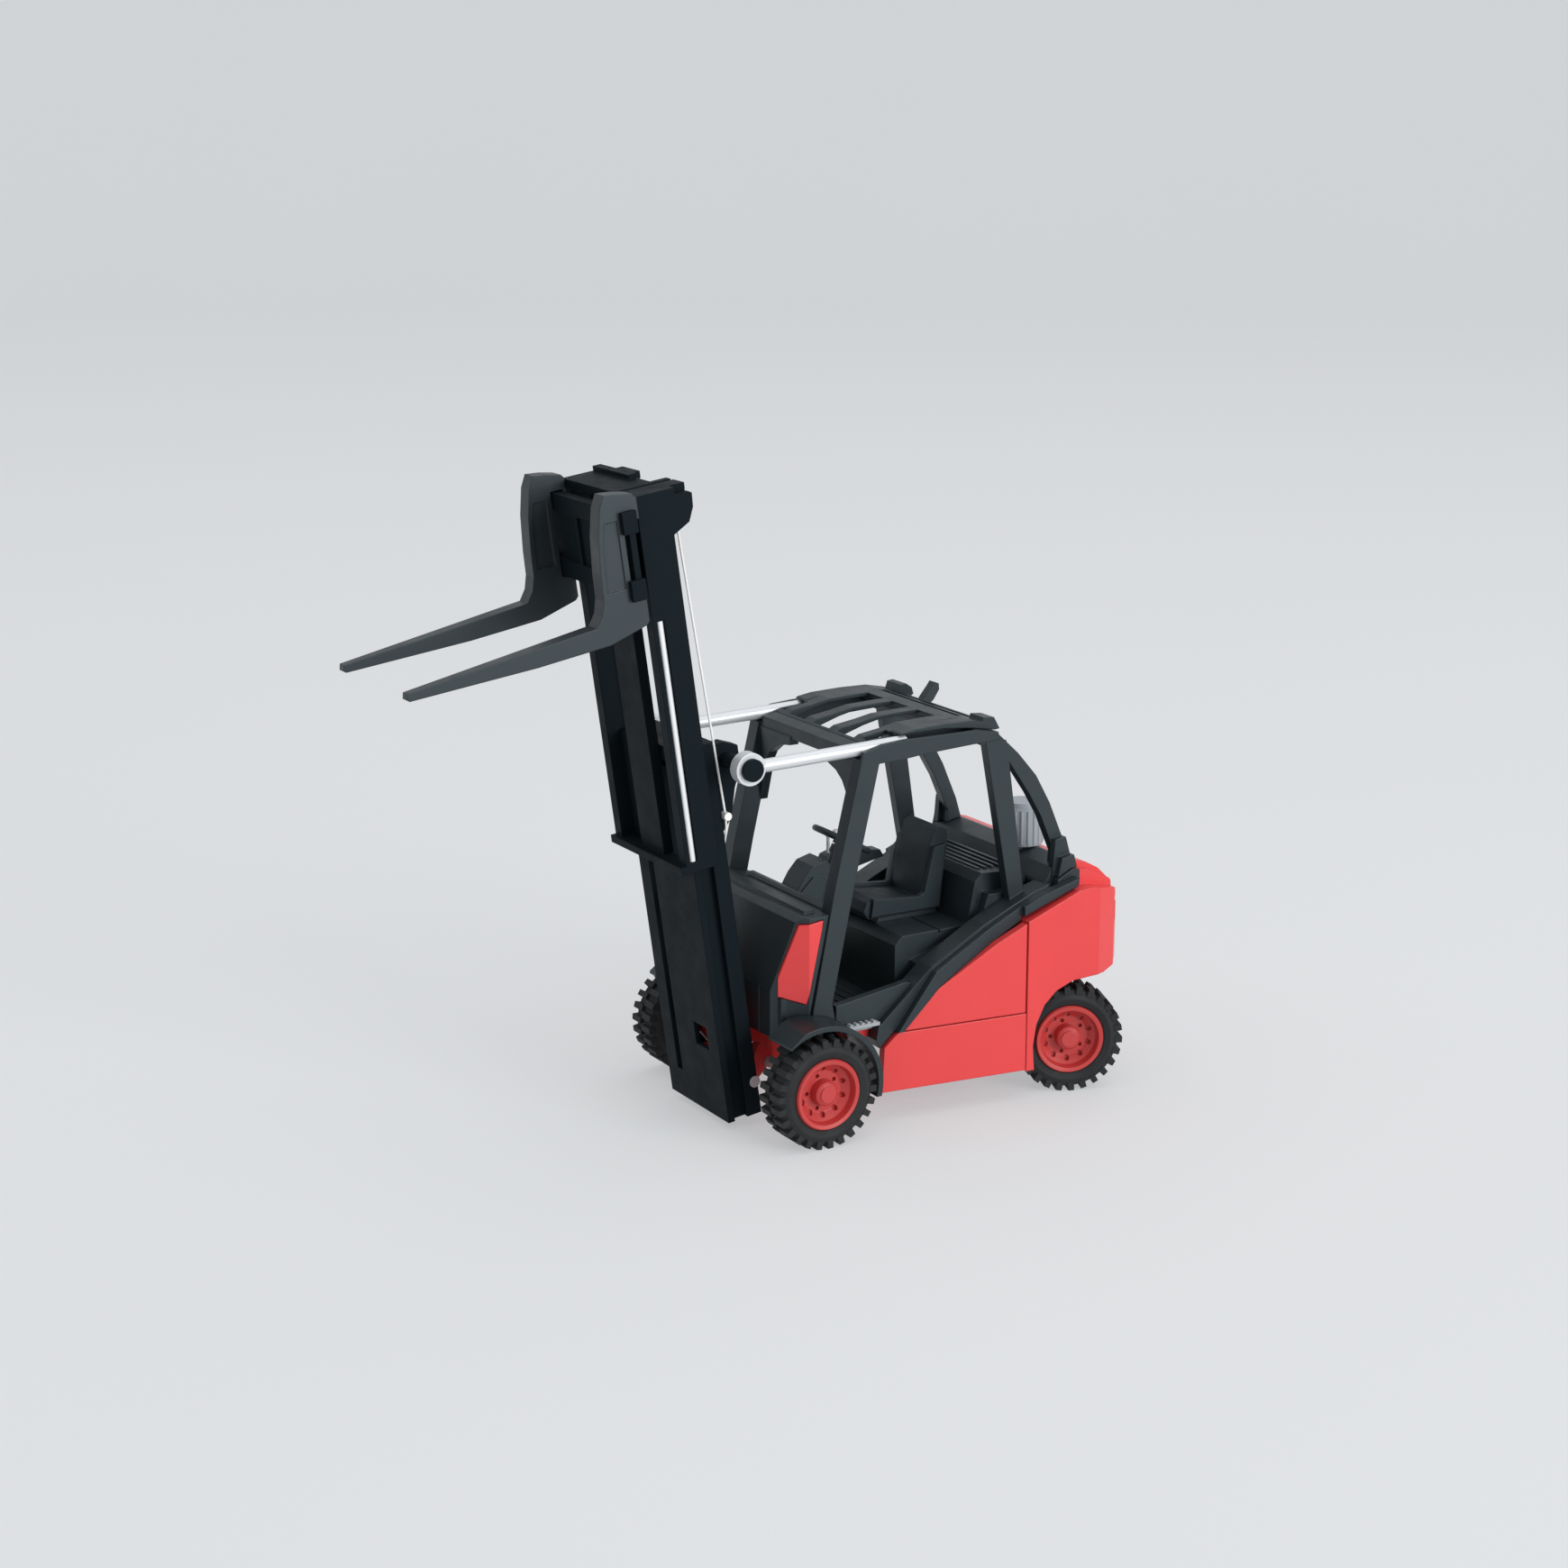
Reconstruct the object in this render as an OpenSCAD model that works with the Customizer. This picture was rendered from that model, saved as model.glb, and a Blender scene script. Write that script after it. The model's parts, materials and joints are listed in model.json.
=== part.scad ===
/* [Wheels] */
// radius over the tread of every tyre
tyre_r = 19.25; // [18.5:0.25:19.5]
// width of every tyre
tyre_w = 13.7; // [12:0.1:14]
// radius of the red rim seat inside the tyre
rim_r = 11.5; // [10:0.5:12.5]
// number of tread lugs around each shoulder
lugs = 26; // [18:1:28]
// sideways distance from the middle to the centre of a front wheel
front_track = 45.15; // [45:0.05:45.6]
// distance from the front axle back to the rear kingpins
kingpin_y = 109.6; // [109:0.1:110.4]
// angle of the rear wheels as the truck stands
steer_rest = -22; // [-24:1:-10]

/* [Mast] */
// forward lean of the mast as the truck stands
mast_lean = 8; // [6:0.5:8]
// height of the outer mast above its pivot
outer_top = 122; // [118:1:124]
// height above the pivot of the foot of the raised inner mast
inner_foot = 82; // [80:1:84]
// length of the inner mast
inner_len = 127.5; // [124:0.5:128]
// length of each fork blade in front of its shank
fork_len = 66; // [50:1:68]
// sideways distance from the middle to each fork
fork_x = 25; // [14:0.5:26]

/* [Body] */
// outside half width of the body at the wheel arches
body_w = 46.5; // [46:0.1:47]
// height of the underside of the side skirts
skirt_z = 11; // [9:0.5:13]
// height of the roof
roof_z = 136.2; // [135.8:0.1:137]
// radius of the turning knob behind the cab
knob_r = 7.6; // [7:0.1:8]

/* [Hidden] */

// the whole truck sits this far back so that the frame origin is under the middle of its box
shift_y = 1.11;
axle_z = tyre_r;
pivot_y = -10;
pivot_z = 16;
kingpin_x = 30;
stub = 12;
rod_u = 114.2;
rod_v = 6.4;
rod_x = 32.5;
rod_slope = 1.6;
knob_x = 9;
deck_y = 110;
mast_cord_x = -11.2;
cord_x = 13;
head_u = inner_foot + inner_len - 2.9;
knob_y = 107.5;
red = [0.83, 0.10, 0.09];
black = [0.07, 0.075, 0.08];
silver = [0.75, 0.76, 0.78];
grey = [0.62, 0.64, 0.66];

// a plate drawn in the side view (first value to the rear, second up), from x0 to x1
module slab(x0, x1)
  translate([x0, 0, 0])
    rotate([90, 0, 90])
      linear_extrude(x1 - x0)
        children();

// the same plate on the left and on the right
module both(x0, x1) {
  slab(x0, x1) children();
  slab(-x1, -x0) children();
}

// a round bar along x between two x values
module bar_x(x0, x1, r, n = 48)
  translate([x0, 0, 0])
    rotate([0, 90, 0])
      cylinder(r = r, h = x1 - x0, $fn = n);

// mast frame: x sideways, y to the rear of the mast, z up along it, origin at the pivot
module on_mast()
  translate([0, pivot_y, pivot_z])
    rotate([mast_lean, 0, 0])
      children();

module box(x0, x1, y0, y1, z0, z1)
  translate([x0, y0, z0])
    cube([x1 - x0, y1 - y0, z1 - z0]);

module mirror_x(side)
  scale([side, 1, 1])
    children();

// ---------- body ----------

// outline of the body seen from above, pulled in by t
module body_plan(t = 0)
  polygon([[-40 + t, 26], [-body_w + t, 84], [-body_w + t, 115 - t / 2], [-43 + t, 124 - t],
    [-36.6 + t, 129.4 - t], [-26, 132 - t], [26, 132 - t], [36.6 - t, 129.4 - t], [43 - t, 124 - t],
    [body_w - t, 115 - t / 2], [body_w - t, 84], [40 - t, 26]]);

module body_ring(t, z0, z1)
  translate([0, 0, z0])
    linear_extrude(z1 - z0)
      difference() {
        body_plan();
        body_plan(t);
        translate([-30, 0]) square([60, 140]);
      }

module chassis()
  color(red)
    difference() {
      union() {
        // side skirts
        intersection() {
          body_ring(3, skirt_z, 31.8);
          both(34, 50) polygon([[28.6, skirt_z], [84.2, skirt_z], [84.2, 31.8], [34.7, 31.8], [29.4, 26.9]]);
        }
        // shelf that carries the cab
        difference() {
          translate([0, 0, 31.8]) linear_extrude(3) polygon([[-37.5, 38], [-41, 76], [-24, 84], [-20, 118],
            [20, 118], [24, 84], [41, 76], [37.5, 38]]);
          box(-12, 12, 44, 72, 30, 36);
        }
        // cross wall ahead of the rear wheels
        box(-41, 41, 76, 79, 14, 33);
        both(38, 42.4) polygon([[70, 14], [81, 14], [81, 31.8], [70, 31.8]]);
        // front carrier for the axle
        both(20, 34) polygon([[-3, 14], [3, 11.5], [9, 14], [14, 22], [14, 31.8], [-3, 31.8]]);
        slab(-20, 20) polygon([[-2, 24.5], [14, 24.5], [14, 31.8], [-2, 31.8]]);
        both(8.4, 12.6) polygon([[-14, 13], [-6.5, 12], [0, 18], [4, 26], [-2, 30], [-6, 22], [-14, 20]]);
        // tongue seen through the window in the mast plate
        slab(-8, 12.6) polygon([[-19, 29.4], [-2, 27], [-2, 31.8], [-19, 36.5]]);
        // spine
        box(-9, 9, 10, 80, 24.5, 31.8);
        box(-34, 34, 8, 40, 30, 33.4);
        box(-20, 20, 78, 118, 28, 34.8);
        // rear axle hanger
        box(-9, 9, 102, 117, 20, 30);
      }
      translate([0, 0, axle_z]) bar_x(-60, 60, 2.06);
      translate([0, pivot_y, pivot_z]) bar_x(-40, 40, 2.06);
      box(-30.5, 30.5, kingpin_y - 4.6, kingpin_y + 4.6, 11, 28.5);
      box(-3, 3, 50, 66, 20, 40);
      // way of the winch cord under the front beam
      box(-1.2, 1.2, -6, 16, 22, 25.6);
    }

module side_panel(side)
  mirror_x(side)
    color(red)
      intersection() {
        body_ring(3, 31.8, 66);
        slab(30, 50) polygon([[35.4, 32.3], [50, 45.6], [72, 58.7], [83.8, 64.4], [83.8, 32.3]]);
      }

module counterweight()
  color(red)
    difference() {
      union() {
        intersection() {
          translate([0, 0, 9]) linear_extrude(80) body_plan();
          slab(-50, 50) polygon([[84.6, 41.4], [116.5, 41.4], [118, 41], [133, 44.6], [133, 47], [130.6, 60],
            [128, 67], [123.8, 71], [112, 73.4], [106, 73], [84.6, 65]]);
        }
        // hump behind the cab
        intersection() {
          slab(-37, 37) polygon([[97.2, 60], [129.6, 60], [128.2, 67.6], [125.4, 72.6], [120.6, 77.2], [115, 80.2],
            [108.5, 81.8], [101, 80], [97.2, 74]]);
          translate([0, 0, 50]) linear_extrude(40) body_plan(2.2);
          box(-50, 50, deck_y + 0.05, 140, 50, 90);
        }
        intersection() {
          slab(-40.6, 40.6) polygon([[97.2, 60], [129.6, 60], [128, 67.6], [123, 74], [114, 78.4], [107, 79.4],
            [101, 76.4]]);
          translate([0, 0, 50]) linear_extrude(40) body_plan(1.2);
          box(-50, 50, deck_y + 0.05, 140, 50, 90);
        }
        // skirt between the seam and the wheel arch
        intersection() {
          body_ring(1.6, 10.4, 45);
          both(40, 50) polygon([[84.6, 10.4], [88, 10.4], [87.3, 19.2], [88.6, 27], [92, 33.6], [97, 38],
            [104, 40.6], [118, 41.2], [118, 45], [84.6, 45]]);
        }
      }
      // slot and bore for the tow pin
      box(-7, 7, 122.4, 140, 50, 56);
      translate([0, 127.4, 45]) cylinder(r = 1.55, h = 40, $fn = 48);
      translate([0, 127.4, 69.2]) cylinder(r = 3.3, h = 20, $fn = 48);
      // well for the winch drum
      translate([knob_x, knob_y, 60]) cylinder(r = 6.4, h = 40, $fn = 64);
      translate([knob_x, knob_y, 50]) cylinder(r = 1.56, h = 30, $fn = 48);
      box(knob_x - 5.6, knob_x - 3.2, 70, knob_y, 64.4, 67.8);
      // seats of the tail lamps
      both(36.5, 45) translate([124, 58]) square([14, 9]);
      // grip line along the lower rear
      box(-28, 28, 131.6, 136, 47, 48);
    }

// black deck behind the seat, level with the hump of the counterweight
module rear_deck()
  color(black)
    difference() {
      union() {
        intersection() {
          slab(-37, 37) polygon([[97.2, 60], [129.6, 60], [128.2, 67.6], [125.4, 72.6], [120.6, 77.2], [115, 80.2],
            [108.5, 81.8], [101, 80], [97.2, 74]]);
          box(-50, 50, 90, deck_y, 50, 90);
        }
        intersection() {
          slab(-40.6, 40.6) polygon([[97.2, 60], [129.6, 60], [128, 67.6], [123, 74], [114, 78.4], [107, 79.4],
            [101, 76.4]]);
          box(-50, 50, 90, deck_y, 50, 90);
        }
      }
      // rests on the counterweight
      slab(-50, 50) polygon([[84.6, 40], [134, 40], [134, 73.45], [112, 73.45], [106, 73.05], [84.6, 65.05]]);
      translate([knob_x, knob_y, 60]) cylinder(r = 6.4, h = 40, $fn = 64);
    }

module tail_lamps()
  color([0.25, 0.02, 0.02])
    for (s = [-1, 1])
      mirror_x(s)
        intersection() {
          translate([0, 0, 58.3]) linear_extrude(8.4) body_plan(0.9);
          slab(36.5, 44.6) polygon([[124, 58.3], [130.4, 58.3], [127.8, 66.7], [124, 66.7]]);
        }

module tow_pin()
  color(silver) {
    translate([0, 127.4, 46.5]) cylinder(r = 1.5, h = 24, $fn = 48);
    translate([0, 127.4, 69.25]) cylinder(r = 2.8, h = 2.4, $fn = 48);
  }

// ---------- cab ----------

module front_cowl_blank()
  color(black)
    difference() {
      union() {
        intersection() {
          slab(-36, 36) polygon([[-8, 33.6], [-8, 50], [-1.6, 74.6], [1, 76.2], [10, 76.4], [10, 70],
            [4.2, 46], [4.2, 33.6]]);
          translate([0, 0, 30]) linear_extrude(60) polygon([[-36, 30], [-36, 2], [-26, -9], [26, -9], [36, 2],
            [36, 30]]);
        }
        slab(-30.8, 30.8) polygon([[-6, 33.6], [-6, 48], [0, 73], [9, 76.4], [16, 75.4], [18, 68], [10, 44],
          [10, 33.6]]);
        // raised rib and grab bar across the top
        slab(-30.6, 30.6) polygon([[2.6, 76], [3.2, 77.3], [6.6, 77.5], [7.4, 76]]);
        slab(-21.4, 30.6) polygon([[11.4, 74.6], [11.2, 76.6], [12.2, 77.5], [13.8, 77.5], [14.8, 76.6],
          [14.6, 74.6]]);
        // instrument dome
        slab(-5.6, 5.6) polygon([[14, 73], [18.5, 80.4], [22, 84.2], [27.4, 85.6], [29.6, 83.2], [26.5, 72],
          [19, 66]]);
        slab(-6.4, 6.4) polygon([[12, 40], [20, 60], [25, 71], [27.4, 79], [21.6, 80.4], [14, 73], [6, 60],
          [8, 40]]);
      }
      // room for the wheels and the A pillars
      both(30.85, 40) polygon([[1.6, 30], [2.4, 43], [10.2, 78], [11.5, 84], [26, 84], [26, 30]]);
      // recesses of the red plates
      for (s = [-1, 1])
        mirror_x(s) plate_shape(0);
      // joint line down the front
      box(-20, -19.4, -9, -7.6, 34, 50);
      box(19.4, 20, -9, -7.6, 34, 50);
    }

module front_cowl()
  color(black)
    difference() {
      front_cowl_blank();
      fender_blank(1);
      fender_blank(-1);
    }

module plate_shape(grow)
  intersection() {
    translate([0, 0, 40]) linear_extrude(50) polygon([[34.8 - grow, 30], [34.8 - grow, 2.2], [28.4, -5.6],
      [30.2, -7.4], [38, 1.8], [38, 30]]);
    slab(20, 40) polygon([[-7.6, 48.4], [-6.6, 54], [-1, 74.2], [7.4, 75.2], [7, 72], [1.2, 46]]);
  }

module cowl_plate(side)
  color(red)
    mirror_x(side)
      intersection() {
        plate_shape(0);
        translate([0, 0, 40]) linear_extrude(50) polygon([[20, -2.5], [26.6, -9], [36.4, 1.7], [36.4, 30],
          [20, 30]]);
        slab(20, 40) polygon([[-7.4, 48.7], [-6.4, 54], [-0.8, 73.9], [7.1, 74.9], [6.7, 72], [1, 46.3]]);
      }

module cab_floor_blank()
  color(black)
    difference() {
      union() {
        translate([0, 0, 34.8]) linear_extrude(1.8) polygon([[-32, 10.2], [-37, 38], [-40, 72], [-24, 83],
          [24, 83], [40, 72], [37, 38], [32, 10.2]]);
        box(-32, 32, 10.4, 26, 33.4, 36.6);
        // raised sills beside the foot well
        both(34, 37) polygon([[12, 36], [37, 36], [44, 42], [44, 47], [40, 48], [12, 44]]);
        // ribs on the foot plate
        for (i = [0:5])
          box(-30, 30, 14 + i * 4.2, 15.6 + i * 4.2, 36, 37.3);
      }
      both(31.5, 34.6) polygon([[30, 30], [36, 30], [36, 40], [30, 40]]);
      box(-12, 12, 44, 72, 30, 40);
    }

module cab_floor()
  color(black)
    difference() {
      cab_floor_blank();
      step_treads();
      fender_blank(1);
      fender_blank(-1);
    }

module step_treads()
  color(grey)
    for (s = [-1, 1])
      mirror_x(s) {
        box(34.4, 39.6, 15.5, 28, 35.4, 36.6);
        for (i = [0:4])
          box(34.8, 39.2, 16.4 + i * 2.3, 17.4 + i * 2.3, 36.5, 37.2);
        box(32, 34.5, 15.5, 28, 33.4, 34.8);
        box(34, 36, 15.5, 28, 33.4, 36);
      }

// arched mudguard over a front wheel
module fender_blank(side)
  color(black)
    mirror_x(side)
      difference() {
        union() {
          intersection() {
            translate([0, 0, axle_z]) bar_x(34.2, 49.5, 23.2, 96);
            slab(34, 50) polygon([[-13, 37], [-4, 44], [8, 44], [30, 40], [30, 14], [20.4, 14], [12, 30],
              [-13, 33]]);
          }
          both(32.6, 36) polygon([[-8, 38], [-3, 42], [11, 42], [15.6, 37], [15.6, 33.4], [-8, 33.4]]);
        }
        translate([0, 0, axle_z]) bar_x(30, 60, 21.3, 96);
        slab(-60, 30) square([200, 200], center = true);
      }

module fender(side)
  color(black)
    difference() {
      fender_blank(side);
      step_treads();
    }

module engine_hood()
  color(black)
    difference() {
      union() {
        slab(-27, 27) polygon([[42, 36.6], [42, 58], [45, 61], [72, 61], [75, 76], [78, 78.8], [93, 78],
          [96.6, 76], [96.6, 73], [91, 68.2], [84.2, 66], [84.2, 36.6]]);
        both(26, 31) polygon([[48, 36.6], [48, 52], [74, 60], [78, 72], [94, 72], [90, 68.2], [84.2, 66],
          [84.2, 36.6]]);
        // vent louvres on the rear deck
        for (i = [0:4])
          box(-22, 22, 79.4 + i * 3, 80.6 + i * 3, 77, 79.2);
      }
      slab(-23, 23) polygon([[46, 30], [46, 54], [73, 54], [77.4, 72], [90, 72], [90, 60], [84.3, 30]]);
      box(-30, 30, 60, 60.6, 59.8, 62);
    }

module seat_base()
  color(black)
    slab(-9, 9) polygon([[46, 61], [47, 63.2], [70.5, 63.2], [71.5, 61]]);

module seat()
  color([0.09, 0.09, 0.1])
    union() {
      slab(-10.4, 10.4) polygon([[41.5, 63.2], [39.6, 66], [41, 69.2], [45, 69.8], [63, 67.6], [68, 66],
        [70, 63.2]]);
      slab(-9.6, 9.6) polygon([[63.4, 66], [67.4, 86], [69.6, 91.4], [72.2, 92.4], [74.6, 91], [74.8, 86],
        [71.6, 66]]);
      both(9.6, 11.8) polygon([[42, 64], [43, 70.6], [62, 69], [64, 70], [68, 86], [73, 86.6], [70.6, 64]]);
    }

module lever_console()
  color(black)
    difference() {
      union() {
        slab(-19.6, -14) polygon([[40, 61], [38, 76], [40, 80.4], [44, 81.6], [62, 80], [63.6, 77.4],
          [50, 74.6], [50, 61]]);
      }
      for (i = [0:2])
        translate([-16.8, 41.8 + i * 3.2, 72]) cylinder(r = 0.62, h = 20, $fn = 24);
    }

module levers()
  color(silver)
    for (i = [0:2])
      translate([-16.8, 41.8 + i * 3.2, 74]) {
        cylinder(r = 0.6, h = 14, $fn = 24);
        translate([0, 0, 14]) sphere(r = 1.3, $fn = 24);
      }

module steering_column()
  color(black)
    translate([0, 37, 90.6])
      rotate([-28, 0, 0])
        union() {
          translate([0, 0, -17]) cylinder(r = 1.7, h = 13, $fn = 48);
          translate([0, 0, -5.6]) cylinder(r = 2.6, h = 3, $fn = 48);
        }

module steering_wheel()
  color([0.1, 0.1, 0.11])
    translate([0, 37, 90.6])
      rotate([-28, 0, 0])
        union() {
          rotate_extrude($fn = 72)
            translate([10, 0])
              circle(r = 1.15, $fn = 24);
          translate([0, 0, -2.2]) cylinder(r = 2.6, h = 2.6, $fn = 48);
          for (a = [90, 210, 330])
            rotate([0, 0, a])
              box(0, 9.6, -0.8, 0.8, -1.1, 0.1);
        }

// the black guard: pillars, side beams and the channels that take the tilt rods
module cab_frame()
  color(black)
    difference() {
      union() {
        // A pillars
        both(31, 36.8) polygon([[2.6, 36.6], [3.2, 43.5], [11.9, 87], [20.8, 124], [22.4, 131], [30, 131],
          [28.6, 126], [19.5, 87], [10.6, 45], [12.4, 36.6]]);
        // B pillars
        both(31.4, 35.2) polygon([[72.9, 128.8], [84.9, 66], [85.3, 60], [91.5, 62], [90.7, 68], [82.4, 123],
          [81.5, 127.8]]);
        // C pillars bending down to the rear deck
        both(31.4, 35.2) polygon([[71.9, 129.8], [77.6, 130.9], [86.6, 122.6], [94.4, 113.7], [100.4, 103.2],
          [106.4, 89.4], [109.6, 79], [109.6, 71.8], [102, 70.4], [102.9, 85], [96.9, 98.7], [91.7, 107.4],
          [83.1, 119.7], [78, 125]]);
        // the C pillars spread outward at their feet
        both(35, 37.6) polygon([[101.6, 90], [106, 90.6], [109.6, 79], [109.6, 71.8], [100, 71]]);
        both(37.4, 40) polygon([[103, 83.6], [108, 84.4], [109.6, 79], [109.6, 71.8], [100, 71]]);
        // side beams along the top of the red panels
        both(31.4, 39.6) polygon([[26.6, 30], [28, 27], [50, 47], [72, 60], [91, 69], [108, 74.4],
          [109.6, 78], [90.6, 73], [70.6, 64.6], [49, 52.8], [27.4, 34.6]]);
        both(38, 42.5) polygon([[33.8, 32.4], [36, 32.4], [50.6, 46], [72.2, 58.9], [84.2, 64.8], [84.2, 69.9],
          [70.6, 63.6], [49, 51.6]]);
        both(38, 44.6) polygon([[84.2, 66.6], [92, 69.3], [106.6, 74.2], [107.4, 77], [92, 73], [84.2, 69.9]]);
        // roof side rails
        both(28.4, 36.8) polygon([[22.4, 126.2], [22.4, 130.6], [30, 132.8], [39, 133.4], [68, 133.2],
          [77, 131.6], [77.6, 128.9], [62, 128.2], [46, 127.4], [38, 126.6]]);
        // front header and rear header
        slab(-29, 29) polygon([[22.4, 126.2], [22.4, 130.6], [27, 131.8], [28, 127]]);
        // rounded upper corners of the windscreen
        for (s = [-1, 1])
          mirror_x(s)
            translate([0, 25.4, 0])
              rotate([90, 0, 0])
                linear_extrude(3.4)
                  polygon([[31.2, 100], [31.2, 127], [10, 127], [10, 124], [14.6, 123.3], [20, 121.6],
                    [24, 118.8], [26.4, 115.2], [28, 110]]);
        slab(-35, 35) polygon([[71, 127.2], [71, 130.6], [77.6, 130.2], [79.8, 127.6]]);
        // rear lower tie
        slab(-35, 35) polygon([[103.6, 71.8], [104.4, 76], [108.6, 76], [109, 72.4]]);
      }
      // open channels for the tilt rods
      both(29.4, 35.6) polygon([[10, 127.9], [62, 129.4], [68, 129.4], [68, 140], [10, 140]]);
      // recess that the counterweight fills
      slab(-37.2, 37.2) polygon([[97, 60], [97, 74], [100.8, 80.2], [108.4, 82], [130, 82], [130, 60]]);
      both(37, 40.9) polygon([[97, 60], [97, 74], [100.8, 76.6], [106.8, 79.6], [130, 79.6], [130, 60]]);
      // seats on the parts below
      chassis();
      counterweight();
      side_panel(1);
      side_panel(-1);
      step_treads();
      fender_blank(1);
      fender_blank(-1);
      cab_floor_blank();
      front_cowl_blank();
    }

module roof_guard()
  color(black)
    difference() {
      union() {
        both(27.6, 34) polygon([[38.6, 134.35], [39.6, 135], [45, roof_z - 0.4], [57, roof_z], [68, roof_z - 0.2],
          [76, 134.4], [78.4, 131.8], [77.2, 131.8], [68, 133.4], [57, 134.6], [45, 134.5], [40, 134.35]]);
        // front slope, thin bars and the thicker rear part
        slab(-27.8, 27.8) polygon([[27.2, 131.9], [30, 133.4], [38.6, 134.6], [45, roof_z - 0.4], [57, roof_z],
          [64, roof_z], [64, roof_z - 1.3], [57, roof_z - 1.3], [45, roof_z - 1.7], [39, 133.2], [30, 130.4],
          [27.4, 129.8]]);
        slab(-27.8, 27.8) polygon([[62, roof_z], [68, roof_z - 0.2], [76, 134.4], [78.4, 131.8], [72, 130.7],
          [62, 132.4]]);
        // cap at the rear corner
        slab(26, 34) polygon([[71.6, 133], [72.6, 136.6], [77, 136.2], [79.4, 132], [77, 131.8]]);
      }
      // long see-through slots
      for (i = [-1:1])
        box(i * 16 - 5.5, i * 16 + 5.5, 28.2, 61, 120, 150);
      both(25.2, 30) translate([29, 120]) square([9.4, 40]);
      // cross slots at the rear
      for (j = [0:1])
        box(-25, 25, 67.6 + j * 4.4, 70 + j * 4.4, 120, 150);
      roof_lamp();
    }

module roof_lamp()
  color(black) {
    slab(-12.6, -9) polygon([[76.4, 133.8], [78, 131.6], [80.8, 133.6], [83.2, 137.2], [83, 139.4],
      [81.4, 140], [80.4, 138.6]]);
    slab(-30.4, -21.6) polygon([[74, 134.4], [78, 131.7], [80.6, 133.6], [79.8, 136], [77.4, 137.6],
      [75, 137.4]]);
  }

// ---------- axles, steering ----------

module front_axle()
  color(silver)
    translate([0, 0, axle_z])
      bar_x(-front_track - 5, front_track + 5, 2);

module mast_pin()
  color(silver)
    translate([0, pivot_y, pivot_z])
      bar_x(-20.2, 20.2, 2);

module rear_axle_beam()
  color(black)
    translate([0, kingpin_y, 0])
      difference() {
        union() {
          box(-kingpin_x, kingpin_x, -4.5, 4.5, 15.4, 28.4);
          for (s = [-1, 1])
            translate([s * kingpin_x, 0, 12.6]) cylinder(r = 4.5, h = 15.8, $fn = 64);
          box(-9, 9, -4.6, 4.6, 15, 28.5);
        }
        for (s = [-1, 1])
          translate([s * kingpin_x, 0, 0]) {
            cylinder(r = 1.85, h = 40, $fn = 48);
            translate([0, 0, 15.6]) cylinder(r = 8.2, h = 7.4, $fn = 64);
          }
      }

// steering knuckle: kingpin, stub axle and the arm that the tie rod turns
module knuckle(side)
  color(black)
    mirror_x(side)
      translate([kingpin_x, kingpin_y, 0])
        rotate([0, 0, side * steer_rest])
          union() {
            translate([0, 0, 12.2]) cylinder(r = 1.8, h = 16, $fn = 48);
            translate([0, 0, 16]) cylinder(r = 3.9, h = 6.5, $fn = 64);
            translate([0, 0, axle_z]) bar_x(0, stub + 4, 1.9);
            translate([0, 0, 17.2]) box(-1.8, 1.8, -11.5, 0, 0, 3);
            translate([0, -11.5, 13.4]) cylinder(r = 1.2, h = 6.8, $fn = 32);
          }

function arm_end(s) = [s * kingpin_x + 11.5 * sin(steer_rest), kingpin_y - 11.5 * cos(steer_rest)];

module tie_rod()
  color(silver)
    difference() {
      union() {
        for (s = [-1, 1])
          translate([arm_end(s)[0], arm_end(s)[1], 14]) cylinder(r = 2.5, h = 2.2, $fn = 48);
        translate([arm_end(-1)[0], arm_end(-1)[1] - 1.2, 14]) cube([2 * kingpin_x, 2.4, 2.2]);
      }
      for (s = [-1, 1])
        translate([arm_end(s)[0], arm_end(s)[1], 10]) cylinder(r = 1.26, h = 10, $fn = 32);
    }

// ---------- wheels ----------

// tyre about the x axis with chunky lugs that meet in a zigzag
module tyre()
  color([0.06, 0.06, 0.065])
    union() {
      rotate([0, 90, 0])
        rotate_extrude($fn = 96)
          polygon([[rim_r, -tyre_w / 2 + 1.6], [rim_r + 1.2, -tyre_w / 2 + 0.3], [rim_r + 3.4, -tyre_w / 2],
            [tyre_r - 3, -tyre_w / 2 + 0.5], [tyre_r - 1.5, -tyre_w / 2 + 1.8], [tyre_r - 1.3, 0],
            [tyre_r - 1.5, tyre_w / 2 - 1.8], [tyre_r - 3, tyre_w / 2 - 0.5], [rim_r + 3.4, tyre_w / 2],
            [rim_r + 1.2, tyre_w / 2 - 0.6], [rim_r, tyre_w / 2 - 1.9]]);
      for (s = [-1, 1])
        for (i = [0:lugs - 1])
          rotate([(i + s / 4) * 360 / lugs, 0, 0])
            scale([s, 1, 1])
              slab(0.5, tyre_w / 2 - 0.5)
                polygon([[-1.15, tyre_r - 2.8], [1.15, tyre_r - 2.8], [1.05, tyre_r - 0.03], [-1.05, tyre_r - 0.03]]);
    }

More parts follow.
